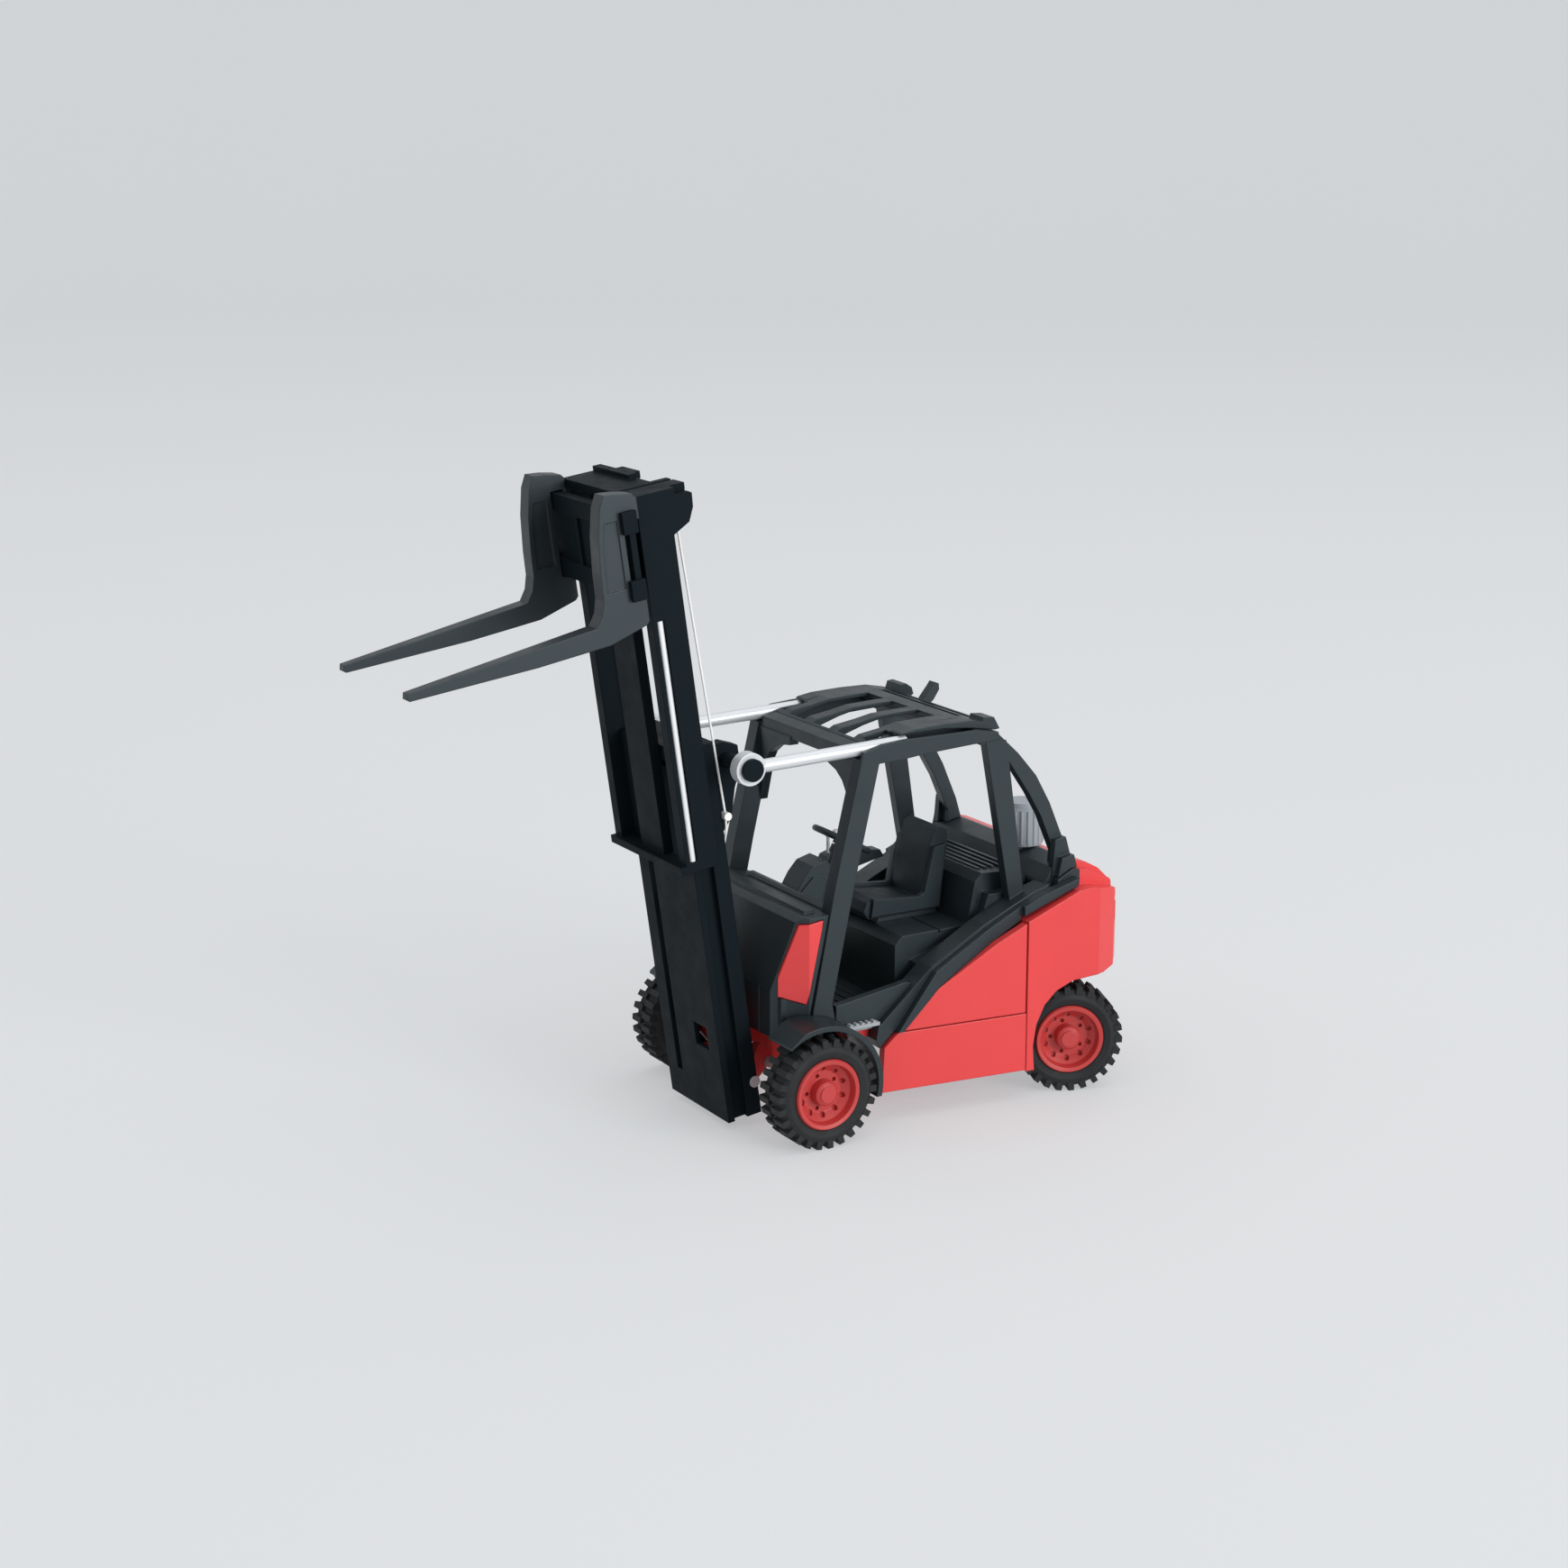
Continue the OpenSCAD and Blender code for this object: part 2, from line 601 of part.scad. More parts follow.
// rim about the x axis: lip, dished face, hub and five window recesses; the open face looks to +x
module rim()
  color(red)
    difference() {
      rotate([0, 90, 0])
        rotate_extrude($fn = 96)
          polygon([[2.1, -5.4], [5, -5.4], [5, -3.4], [rim_r - 1.6, -3.4], [rim_r - 1.6, -5.4], [rim_r, -5.2],
            [rim_r, 5.1], [rim_r + 0.9, 6.2], [rim_r + 0.4, 7.1], [rim_r - 0.9, 6.8], [rim_r - 1.5, 4.2],
            [7.4, 2.2], [4.6, 2.2], [4.2, 5.4], [3.4, 6.1], [2.1, 6.1]]);
      for (i = [0:9])
        rotate([i * 36, 0, 0])
          translate([1.6, 0, 8.1])
            bar_x(0, 8, 0.9, 24);
      for (i = [0:4])
        rotate([i * 72 + 18, 0, 0])
          translate([0.9, 0, 5.9])
            bar_x(0, 8, 0.75, 24);
    }

module rim_cap()
  color(red)
    bar_x(5.4, 6.6, 2.9);

module front_wheel_at(side)
  translate([side * front_track, 0, axle_z])
    mirror_x(side)
      children();

module rear_wheel_at(side)
  translate([side * kingpin_x, kingpin_y, axle_z])
    rotate([0, 0, steer_rest])
      translate([side * stub, 0, 0])
        mirror_x(side)
          children();

module front_rim_solid()
  union() {
    rim();
    rim_cap();
  }

// ---------- mast ----------

module mast_outer()
  color(black)
    on_mast()
      difference() {
        union() {
          // side rails
          both(13, 20) polygon([[-12, -11.6], [1, -11.6], [1, outer_top], [-12, outer_top]]);
          // front plate
          box(-13.2, 13.2, -12, -10.2, -11.6, 78);
          // ties
          box(-13.2, 13.2, -12, -3, -11.6, -8);
          difference() {
            box(-13.2, 13.2, -12, 1, outer_top - 5, outer_top);
            box(mast_cord_x - 1.4, mast_cord_x + 1.4, -11.2, -2, outer_top - 8, outer_top - 1.2);
          }
          translate([0, -6.6, outer_top - 9]) bar_x(-13.2, 13.2, 1.8);
          box(-13.2, 13.2, -3, 1, 60, 66);
          // rear gussets that carry the tilt pins
          both(13.4, 18) polygon([[0, 88], [5.6, 94], [8.4, 104], [11.4, 110], [11.4, 118], [6.4, 120.4],
            [0, 120.4]]);
          box(-14.4, 14.4, 3.6, 9.2, rod_u - 2.8, rod_u + 2.8);
          translate([0, rod_v, rod_u]) bar_x(-29.6, 29.6, 2.8);
        }
        // guide grooves for the inner mast
        both(17.8, 21) polygon([[-9.5, -20], [-4.5, -20], [-4.5, 140], [-9.5, 140]]);
        translate([0, 0, 0]) bar_x(-40, 40, 2.06);
        // window in the plate, over the red tongue
        box(4, 12.9, -13, -9, 13.4, 21.6);
        // slot for the lug of the inner mast
        box(-13, -9.4, -13, -9, -1, 79);
        translate([0, rod_v, rod_u]) bar_x(-40, 40, 1.9);
      }

module tilt_pins()
  color(black)
    on_mast()
      translate([0, rod_v, rod_u])
        for (s = [-1, 1])
          mirror_x(s) {
            bar_x(20, 36, 1.85);
            bar_x(34.9, 36.4, 3.8);
          }

module tilt_rod(side)
  color(silver)
    translate([side * rod_x, 0, 0])
      on_mast()
        translate([0, rod_v, rod_u])
          rotate([-mast_lean + rod_slope, 0, 0])
            difference() {
              union() {
                bar_x(-2.2, 2.2, 5.5, 72);
                rotate([-90, 0, 0]) cylinder(r = 2.25, h = 61, $fn = 48);
              }
              bar_x(-5, 5, 1.95);
            }

module cord_eyelet()
  color([0.92, 0.92, 0.9])
    on_mast()
      difference() {
        translate([0, 2.45, 96])
          bar_x(18.6, 21.8, 1.4, 32);
        translate([20.3, 2.14, 90]) cylinder(r = 0.62, h = 12, $fn = 32);
      }

module mast_inner()
  color(black)
    on_mast()
      translate([0, 0, inner_foot])
        difference() {
          union() {
            // side rails with their tongues
            both(20.4, 25) polygon([[-17, 0], [-5, 0], [-5, inner_len - 3], [-17, inner_len - 3]]);
            both(18.2, 20.6) polygon([[-9.1, 0.6], [-4.9, 0.6], [-4.9, inner_len - 3], [-9.1, inner_len - 3]]);
            // centre column with the lug that the winch cord pulls
            box(-7.8, 7.8, -16, -12.4, 0, inner_len - 2);
            box(-12.6, -9.8, -12.6, -9.6, 0.6, 4.6);
            // foot plate and head plate
            box(-25, 25, -19, -12.4, 0, 2.6);
            box(-25, 25, -17.8, -3, inner_len - 3, inner_len);
            // raised rim at the back of the head plate
            box(-25, 0, -6, -3, inner_len - 1, inner_len + 1.6);
            // ears and roller plates
            both(20.4, 25) polygon([[-6, inner_len - 15.5], [-4, inner_len - 14.5], [1, inner_len - 12],
              [3, inner_len - 7.5], [3.2, inner_len - 3], [2.4, inner_len - 2.4], [-6, inner_len - 2.4]]);
            both(9, 21) polygon([[-4, inner_len - 3], [2.4, inner_len - 3], [3, inner_len - 2.2],
              [3, inner_len], [-4, inner_len]]);
          }
          // outside channels that show the bright rods
          both(22.4, 26) polygon([[-15.4, 3.6], [-12.7, 3.6], [-12.7, 86], [-15.4, 86]]);
          // groove that leads the lift cord over the head
          box(cord_x - 0.9, cord_x + 0.9, -18, 6, inner_len - 1.5, inner_len + 3);
          slab(cord_x - 1.6, cord_x + 1.6) polygon([[-14.9, inner_len - 4], [-10.9, inner_len - 4],
            [-10.9, inner_len - 1.2], [-14.9, inner_len - 1.2]]);
          slab(cord_x - 1.6, cord_x + 1.6) polygon([[-1.9, inner_len - 4], [2.1, inner_len - 4],
            [2.1, inner_len - 1.2], [-1.9, inner_len - 1.2]]);
          box(cord_x - 0.9, cord_x + 0.9, -15.7, -12, inner_len - 5, inner_len);
          box(cord_x - 0.9, cord_x + 0.9, 1, 6, inner_len - 5, inner_len);
        }

module mast_rods()
  color(silver)
    on_mast()
      for (s = [-1, 1])
        translate([s * 23.7, -14.05, inner_foot + 3.6]) cylinder(r = 1.2, h = 82.4, $fn = 32);

module cord_rollers()
  color(grey)
    on_mast()
      for (v = [-12.9, 0.1])
        translate([0, v, head_u]) bar_x(cord_x - 1.6, cord_x + 1.6, 1.6);

module carriage()
  color(black)
    on_mast()
      union() {
        // two bars that carry the forks
        slab(-29, 29) polygon([[-23.6, 200], [-19.8, 200], [-19.8, 206], [-23.6, 206]]);
        slab(-29, 29) polygon([[-23.6, 178], [-19.8, 178], [-19.8, 184], [-23.6, 184]]);
        // front plate between the forks, with two ribs
        box(-28.6, 28.6, -22.6, -20.4, 182, 202);
        both(6, 8) polygon([[-23.6, 184], [-22, 184], [-22, 200], [-23.6, 200]]);
        // side plates back to the guide blocks
        both(10, 19) polygon([[-20.6, 178.4], [-17.2, 178.4], [-17.2, 202.6], [-20.6, 202.6]]);
        both(9, 20) polygon([[-17.8, 176], [-13, 176], [-13, 198], [-17.8, 198]]);
        // stops at the ends of the bars
        both(28.6, 30) polygon([[-25, 199.4], [-19.8, 199.4], [-19.8, 206.6], [-25, 206.6]]);
        both(28.6, 30) polygon([[-25, 177.6], [-19.8, 177.6], [-19.8, 184.4], [-25, 184.4]]);
      }

// a fork: tapered blade, upright shank and the hooks that hang on the bars
module fork(side)
  color(black)
    on_mast()
      translate([side * fork_x, 0, 0])
        difference() {
          union() {
            slab(-3, 3) polygon([[-34, 165.4], [-20.5, 168.8], [-19.4, 170], [-19.4, 177.6], [-24, 177.6],
              [-24, 206.4], [-24, 212.4], [-29.4, 213], [-31.4, 209], [-33.2, 200], [-34.2, 188],
              [-34.4, 180], [-35.6, 175.4], [-38, 171.9], [-38.2 - fork_len, 167], [-38.6 - fork_len, 165],
              [-37.8 - fork_len, 164.4], [-60, 164.4]]);
            // upper hook
            slab(-3, 3) polygon([[-24.2, 206.4], [-18.2, 206.4], [-18.2, 210], [-19.4, 211.4], [-24.2, 212.4]]);
            slab(-3, 3) polygon([[-19.5, 203.2], [-18.2, 203.2], [-18.2, 208], [-19.5, 208]]);
          }
          // blade narrows in width towards its tip
          translate([3, -42, 150]) rotate([0, 0, -1.2]) translate([0, -80, 0]) cube([5, 80, 22.4]);
          translate([-3, -42, 150]) rotate([0, 0, 1.2]) translate([-5, -80, 0]) cube([5, 80, 22.4]);
          // shallow panel on each side of the shank
          both(2.5, 4) polygon([[-32.6, 182], [-26, 182], [-26, 204], [-30.6, 204], [-32, 196]]);
        }

// ---------- knob, drum and cords ----------

module winch_knob()
  color(grey)
    translate([knob_x, knob_y, 81.9])
      difference() {
        union() {
          cylinder(r = knob_r, h = 13.6, $fn = 72);
          translate([0, 0, 13.6]) cylinder(r = knob_r - 1.6, h = 1.8, $fn = 72);
          for (i = [0:19])
            rotate([0, 0, i * 18])
              translate([knob_r - 0.2, 0, 0.6])
                cylinder(r = 0.62, h = 12.4, $fn = 24);
        }
        translate([0, 0, -1]) cylinder(r = 3.02, h = 6, $fn = 48);
      }

module winch_drum()
  color(silver)
    translate([knob_x, knob_y, 0])
      union() {
        translate([0, 0, 51]) cylinder(r = 1.5, h = 12, $fn = 48);
        translate([0, 0, 62]) cylinder(r = 6, h = 1.4, $fn = 64);
        translate([0, 0, 63]) cylinder(r = 4, h = 7, $fn = 64);
        translate([0, 0, 69]) cylinder(r = 6, h = 1.4, $fn = 64);
        translate([0, 0, 70]) cylinder(r = 3, h = 16, $fn = 48);
      }

function sub3(a, b) = [a[0] - b[0], a[1] - b[1], a[2] - b[2]];
function unit3(a) = a / norm(a);
function mid_dir(p, i) = unit3(sub3(p[min(i + 1, len(p) - 1)], p[max(i - 1, 0)]));
function side_dir(d) = unit3(cross(abs(d[0]) > 0.9 ? [0, 0, 1] : [1, 0, 0], d));

// a round cord of radius r swept through the points p
module cord(p, r) {
  n = 8;
  rings = len(p);
  pts = [for (i = [0:rings - 1]) for (k = [0:n - 1])
    let (d = mid_dir(p, i), a = side_dir(d), b = cross(d, a))
      p[i] + r * (cos(k * 360 / n) * a + sin(k * 360 / n) * b)];
  sides = [for (i = [0:rings - 2]) for (k = [0:n - 1])
    [i * n + k, i * n + (k + 1) % n, (i + 1) * n + (k + 1) % n, (i + 1) * n + k]];
  ends = [[for (k = [0:n - 1]) n - 1 - k], [for (k = [0:n - 1]) (rings - 1) * n + k]];
  polyhedron(points = pts, faces = concat(sides, ends));
}

// evenly spaced points between a and b
function run(a, b, n) = [for (i = [0:n]) a + (b - a) * i / n];
// an arc in the side view of the mast, about (v, u)
function bend(x, v, u, r, a0, a1, n) = [for (i = [0:n])
  let (a = a0 + (a1 - a0) * i / n) [x, v + r * cos(a), u + r * sin(a)]];

// from its anchor on the outer mast, over the rollers at the head, down to the carriage
module lift_cord()
  color([0.93, 0.93, 0.91])
    on_mast()
      cord(concat([[15.6, 1.55, 83.4], [17.6, 1.6, 86.2], [19.6, 1.8, 89.6]],
        run([20.3, 2, 92.6], [20.3, 2.2, 97.6], 2),
        run([19.9, 2.2, 103], [cord_x, 2.1, head_u - 1.4], 14),
        bend(cord_x, 0.1, head_u, 2.06, 10, 90, 4),
        run([cord_x, -2.6, head_u + 2.06], [cord_x, -11.6, head_u + 2.06], 3),
        bend(cord_x, -12.9, head_u, 2.06, 90, 170, 4),
        run([cord_x, -15.1, head_u - 2.4], [cord_x, -15.3, 198.05], 2)), 0.45);

// from the drum forward, down through the hood and under the floor to the foot of the mast
module winch_cord()
  color([0.93, 0.93, 0.91])
    cord(concat([[knob_x - 4.5, knob_y - 0.6, 66]],
      run([knob_x - 4.5, 100, 66], [4.2, 88, 66], 3),
      [[4, 84, 65], [3.6, 80, 61], [3.2, 77, 56]],
      run([2.8, 74, 48], [2, 68, 40], 2),
      [[1.4, 64, 36], [0.8, 61, 30], [0.4, 58.5, 26], [0, 55, 23.6]],
      run([0, 50, 23], [0, -4, 23], 8),
      [[0, -7, 22.4], [0, -9, 20.4]]), 0.45);

// up inside the mast, over the guide bar and down to the lug of the inner mast
module mast_cord()
  color([0.93, 0.93, 0.91])
    on_mast()
      cord(concat([[0, 0.8, 5.1], [-1.5, -1.4, 6.8], [-5, -3.4, 9.4], [-9, -4.4, 12.6], [-10.8, -4.6, 15.4]],
        run([mast_cord_x, -4.6, 19], [mast_cord_x, -4.3, outer_top - 11], 9),
        bend(mast_cord_x, -6.6, outer_top - 9, 2.32, 0, 180, 8),
        run([mast_cord_x, -8.92, outer_top - 12], [mast_cord_x, -10.4, inner_foot + 4.8], 4)), 0.45);

module place() translate([0, shift_y, 0]) children();

place() chassis();
place() side_panel(1);  // side_panel_left
place() side_panel(-1);  // side_panel_right
place() counterweight();
place() front_cowl();
place() cowl_plate(1);  // cowl_plate_left
place() cowl_plate(-1);  // cowl_plate_right
place() cab_floor();
place() step_treads();
place() fender(1);  // fender_left
place() fender(-1);  // fender_right
place() engine_hood();
place() rear_deck();
place() seat_base();
place() seat();
place() cab_frame();
place() roof_guard();
place() roof_lamp();
place() tail_lamps();
place() tow_pin();
place() front_axle();
place() rear_axle_beam();
place() mast_pin();
place() lever_console();
place() levers();
place() steering_column();
place() steering_wheel();
place() winch_knob();
place() winch_drum();
place() front_wheel_at(1) tyre();  // front_tyre_left
place() front_wheel_at(1) front_rim_solid();  // front_rim_left
place() front_wheel_at(-1) tyre();  // front_tyre_right
place() front_wheel_at(-1) front_rim_solid();  // front_rim_right
place() knuckle(1);  // knuckle_left
place() knuckle(-1);  // knuckle_right
place() tie_rod();
place() rear_wheel_at(1) tyre();  // rear_tyre_left
place() rear_wheel_at(1) front_rim_solid();  // rear_rim_left
place() rear_wheel_at(-1) tyre();  // rear_tyre_right
place() rear_wheel_at(-1) front_rim_solid();  // rear_rim_right
place() mast_outer();
place() tilt_pins();
place() cord_eyelet();
place() tilt_rod(1);  // tilt_rod_left
place() tilt_rod(-1);  // tilt_rod_right
place() mast_inner();
place() mast_rods();
place() cord_rollers();
place() carriage();
place() fork(1);  // fork_left
place() fork(-1);  // fork_right
place() lift_cord();
place() winch_cord();
place() mast_cord();
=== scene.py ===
import json
import math

import bpy
import numpy as np
from mathutils import Matrix, Vector


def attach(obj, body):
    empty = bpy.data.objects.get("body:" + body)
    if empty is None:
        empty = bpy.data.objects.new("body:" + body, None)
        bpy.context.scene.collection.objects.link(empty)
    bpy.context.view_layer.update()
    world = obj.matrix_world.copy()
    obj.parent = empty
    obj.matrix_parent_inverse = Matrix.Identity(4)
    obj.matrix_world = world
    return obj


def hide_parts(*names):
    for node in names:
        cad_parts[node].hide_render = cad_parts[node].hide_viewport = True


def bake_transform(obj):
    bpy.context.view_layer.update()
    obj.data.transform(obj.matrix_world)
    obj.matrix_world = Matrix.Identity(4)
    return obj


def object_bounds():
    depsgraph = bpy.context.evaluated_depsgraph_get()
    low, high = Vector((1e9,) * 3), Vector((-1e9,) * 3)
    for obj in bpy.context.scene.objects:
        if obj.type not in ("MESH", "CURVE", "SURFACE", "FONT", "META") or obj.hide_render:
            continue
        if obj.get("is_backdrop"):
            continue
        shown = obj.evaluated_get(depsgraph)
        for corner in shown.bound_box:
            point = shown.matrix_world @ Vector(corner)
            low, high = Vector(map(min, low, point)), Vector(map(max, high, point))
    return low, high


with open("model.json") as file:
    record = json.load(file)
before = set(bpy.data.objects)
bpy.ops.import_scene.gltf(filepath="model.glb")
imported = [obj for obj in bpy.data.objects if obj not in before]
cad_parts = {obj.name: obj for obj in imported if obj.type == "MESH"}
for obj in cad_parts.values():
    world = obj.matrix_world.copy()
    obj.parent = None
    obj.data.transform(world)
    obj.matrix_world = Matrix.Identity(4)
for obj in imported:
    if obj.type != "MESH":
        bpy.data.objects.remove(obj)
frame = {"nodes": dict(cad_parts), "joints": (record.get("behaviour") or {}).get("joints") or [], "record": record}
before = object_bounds()
scene = bpy.context.scene
nodes = frame["nodes"]


# ---------------------------------------------------------------- materials
def principled(name):
    m = bpy.data.materials.new(name)
    m.use_nodes = True
    t = m.node_tree
    return m, t, t.nodes["Principled BSDF"]


def noise(t, scale, detail, stretch=None):
    """Noise on the piece's own coordinates, drawn out along one axis when a stretch is given."""
    n = t.nodes.new("ShaderNodeTexNoise")
    n.inputs["Scale"].default_value = scale
    n.inputs["Detail"].default_value = detail
    n.inputs["Roughness"].default_value = 0.6
    source = t.nodes.new("ShaderNodeTexCoord").outputs["Object"]
    if stretch:
        mapping = t.nodes.new("ShaderNodeMapping")
        mapping.inputs["Scale"].default_value = stretch
        t.links.new(source, mapping.inputs["Vector"])
        source = mapping.outputs["Vector"]
    t.links.new(source, n.inputs["Vector"])
    return n.outputs["Fac"]


def spread(t, source, low, high):
    """The middle of a noise's range mapped to low..high."""
    r = t.nodes.new("ShaderNodeMapRange")
    r.inputs["From Min"].default_value = 0.3
    r.inputs["From Max"].default_value = 0.7
    r.inputs["To Min"].default_value = low
    r.inputs["To Max"].default_value = high
    t.links.new(source, r.inputs["Value"])
    return r.outputs["Result"]


def two_tone(t, b, factor, first, second):
    """Base colour that drifts between two tones."""
    mix = t.nodes.new("ShaderNodeMix")
    mix.data_type = "RGBA"
    mix.inputs["A"].default_value = (*first, 1)
    mix.inputs["B"].default_value = (*second, 1)
    t.links.new(factor, mix.inputs["Factor"])
    t.links.new(mix.outputs["Result"], b.inputs["Base Color"])


def relief(t, b, height, strength, distance):
    """Bump from a height; the bump node is returned so that a bevel can feed it."""
    bump_node = t.nodes.new("ShaderNodeBump")
    bump_node.inputs["Strength"].default_value = strength
    bump_node.inputs["Distance"].default_value = distance
    t.links.new(height, bump_node.inputs["Height"])
    t.links.new(bump_node.outputs["Normal"], b.inputs["Normal"])
    return bump_node


def soft_edges(t, bump_node, radius):
    """Rounded-looking edges under a bump."""
    bevel = t.nodes.new("ShaderNodeBevel")
    bevel.samples = 6
    bevel.inputs["Radius"].default_value = radius
    t.links.new(bevel.outputs["Normal"], bump_node.inputs["Normal"])
    return bevel.outputs["Normal"]


def surface(name, color, rough, vary, spec, bump, edge,
            coat=0.0, grain=900.0, tint=0.06, glint=(1.0, 1.0, 1.0)):
    """Moulded surface: slight colour drift, uneven gloss, fine grain and softly broken edges."""
    m, t, b = principled(name)
    dark = [c * (1 - tint) for c in color]
    light = [c * (1 + tint) for c in color]
    two_tone(t, b, noise(t, 38.0, 3.0), dark, light)
    t.links.new(spread(t, noise(t, 120.0, 5.0), rough - vary, rough + vary), b.inputs["Roughness"])
    b.inputs["Specular IOR Level"].default_value = spec
    b.inputs["Specular Tint"].default_value = (*glint, 1)
    b.inputs["Coat Weight"].default_value = coat
    b.inputs["Coat Roughness"].default_value = 0.15
    bump_node = relief(t, b, noise(t, grain, 3.0), bump, 0.0002)
    t.links.new(soft_edges(t, bump_node, edge), b.inputs["Coat Normal"])
    return m


def drawn_metal(name, color, rough, axis):
    """Bright coated rod with faint marks along its length."""
    m, t, b = principled(name)
    b.inputs["Base Color"].default_value = (*color, 1)
    b.inputs["Metallic"].default_value = 0.35
    stretch = [1400.0, 1400.0, 1400.0]
    stretch[axis] = 30.0
    marks = noise(t, 1.0, 4.0, stretch)
    t.links.new(spread(t, marks, rough - 0.06, rough + 0.08), b.inputs["Roughness"])
    soft_edges(t, relief(t, b, marks, 0.04, 0.0001), 0.0003)
    return m


def lens(name):
    """Dark red ribbed lens."""
    m, t, b = principled(name)
    b.inputs["Base Color"].default_value = (0.09, 0.004, 0.004, 1)
    b.inputs["Roughness"].default_value = 0.16
    b.inputs["Coat Weight"].default_value = 0.6
    coords = t.nodes.new("ShaderNodeTexCoord")
    ribs = t.nodes.new("ShaderNodeTexWave")
    ribs.bands_direction = "Z"
    ribs.inputs["Scale"].default_value = 260.0
    t.links.new(coords.outputs["Object"], ribs.inputs["Vector"])
    relief(t, b, ribs.outputs["Fac"], 0.3, 0.0003)
    return m


BLUISH = (0.80, 0.93, 1.0)
MATERIALS = {
    "red": surface("red_plastic", (0.66, 0.041, 0.042), 0.36, 0.05, 0.45, coat=0.12, bump=0.03, edge=0.0006),
    "rim": surface("rim_plastic", (0.46, 0.036, 0.034), 0.38, 0.05, 0.45, coat=0.1, bump=0.03, edge=0.0004),
    "black": surface("black_plastic", (0.0135, 0.0190, 0.0220), 0.42, 0.07, 0.46, bump=0.07, edge=0.0005,
                     glint=BLUISH),
    "seat": surface("seat_plastic", (0.0110, 0.0165, 0.0195), 0.55, 0.06, 0.4, grain=420.0, bump=0.22,
                    edge=0.0009, glint=(0.75, 0.90, 1.0)),
    "mast": surface("mast_plastic", (0.0062, 0.0096, 0.0122), 0.52, 0.08, 0.06, bump=0.07, edge=0.0005,
                    glint=(0.70, 0.88, 1.0)),
    # forks: the black plastic made lighter, painted light standing in for the light falling on their top faces
    "fork": surface("fork_black_painted_light", (0.0180, 0.0230, 0.0265), 0.42, 0.07, 0.46, bump=0.06, edge=0.0005,
                    glint=BLUISH),
    "tyre": surface("tyre", (0.012, 0.0135, 0.0145), 0.72, 0.08, 0.35, grain=520.0, bump=0.25, edge=0.0004,
                    tint=0.2),
    "silver": drawn_metal("silver_plastic", (0.62, 0.64, 0.66), 0.34, 1),
    "silver_up": drawn_metal("silver_upright", (0.78, 0.79, 0.80), 0.30, 2),
    "grey": surface("grey_plastic", (0.30, 0.33, 0.36), 0.42, 0.05, 0.45, bump=0.05, edge=0.0003),
    # step treads: light grey, a painted highlight standing in for the light caught on the tread tops
    "tread": surface("step_tread_painted_highlight", (0.34, 0.36, 0.38), 0.5, 0.06, 0.45, bump=0.1, edge=0.0003),
    "steel": drawn_metal("steel", (0.55, 0.56, 0.57), 0.3, 0),
    "lamp": lens("lamp_red"),
    "bead": surface("white_plastic", (0.82, 0.82, 0.80), 0.4, 0.04, 0.5, bump=0.03, edge=0.0002),
}
BY_SLOT = {
    "red_plastic": "red",
    "black_plastic": "black",
    "seat_plastic": "seat",
    "mast_plastic": "mast",
    "rim_plastic": "rim",
    "tyre": "tyre",
    "silver_plastic": "silver",
    "grey_plastic": "grey",
    "steel": "steel",
    "lamp_red": "lamp",
    "cord": "bead",
    "eyelet": "bead",
}
SPECIAL = {"mast_rods": "silver_up", "step_treads": "tread", "levers": "steel", "fork_left": "fork",
           "fork_right": "fork"}
slot_of = {e["node"]: e["material_slot"] for e in frame["record"]["subparts"]}
for name, o in nodes.items():
    key = SPECIAL.get(name) or BY_SLOT[slot_of[name]]
    o.data.materials.clear()
    o.data.materials.append(MATERIALS[key])


# ---------------------------------------------------------------- cords
CORD_R = 0.00042
STRANDS = 3
PITCH = 0.0032
AROUND = 12


def thread(name, body_points, step=0.0007):
    """A twisted thread swept along points, built ring by ring, metres."""
    pts = [Vector(p) for p in body_points]
    dense = [pts[0]]
    for a, b in zip(pts[:-1], pts[1:]):
        k = max(1, int(math.ceil((b - a).length / step)))
        for i in range(1, k + 1):
            dense.append(a.lerp(b, i / k))
    tangents = []
    for i in range(len(dense)):
        a = dense[max(0, i - 1)]
        b = dense[min(len(dense) - 1, i + 1)]
        tangents.append((b - a).normalized())
    side = tangents[0].orthogonal().normalized()
    verts, faces = [], []
    run = 0.0
    for i, p in enumerate(dense):
        if i:
            run += (p - dense[i - 1]).length
            side = (side - tangents[i] * side.dot(tangents[i])).normalized()
        up = tangents[i].cross(side)
        turn = 2 * math.pi * run / PITCH
        for k in range(AROUND):
            th = 2 * math.pi * k / AROUND
            rr = CORD_R * (0.86 + 0.14 * abs(math.cos(STRANDS * (th - turn) / 2)))
            verts.append(p + (side * math.cos(th) + up * math.sin(th)) * rr)
    for i in range(len(dense) - 1):
        for k in range(AROUND):
            n = (k + 1) % AROUND
            faces.append((i * AROUND + k, i * AROUND + n, (i + 1) * AROUND + n, (i + 1) * AROUND + k))
    faces.append(tuple(range(AROUND - 1, -1, -1)))
    last = (len(dense) - 1) * AROUND
    faces.append(tuple(last + k for k in range(AROUND)))
    me = bpy.data.meshes.new(name)
    me.from_pydata([tuple(v) for v in verts], [], faces)
    me.update()
    for f in me.polygons:
        f.use_smooth = True
    o = bpy.data.objects.new(name, me)
    scene.collection.objects.link(o)
    o.data.materials.append(THREAD)
    return o


def thread_material():
    """Pale twisted cotton."""
    m, t, b = principled("cord")
    fibre = noise(t, 2600.0, 3.0)
    two_tone(t, b, fibre, (0.72, 0.72, 0.70), (0.90, 0.90, 0.88))
    b.inputs["Roughness"].default_value = 0.75
    b.inputs["Sheen Weight"].default_value = 0.3
    relief(t, b, fibre, 0.3, 0.0001)
    return m


THREAD = thread_material()
JOINTS = {j["name"]: j for j in frame["joints"]}
PIVOT = JOINTS["mast_tilt"]["pos_m"]
LEAN = math.radians(8)


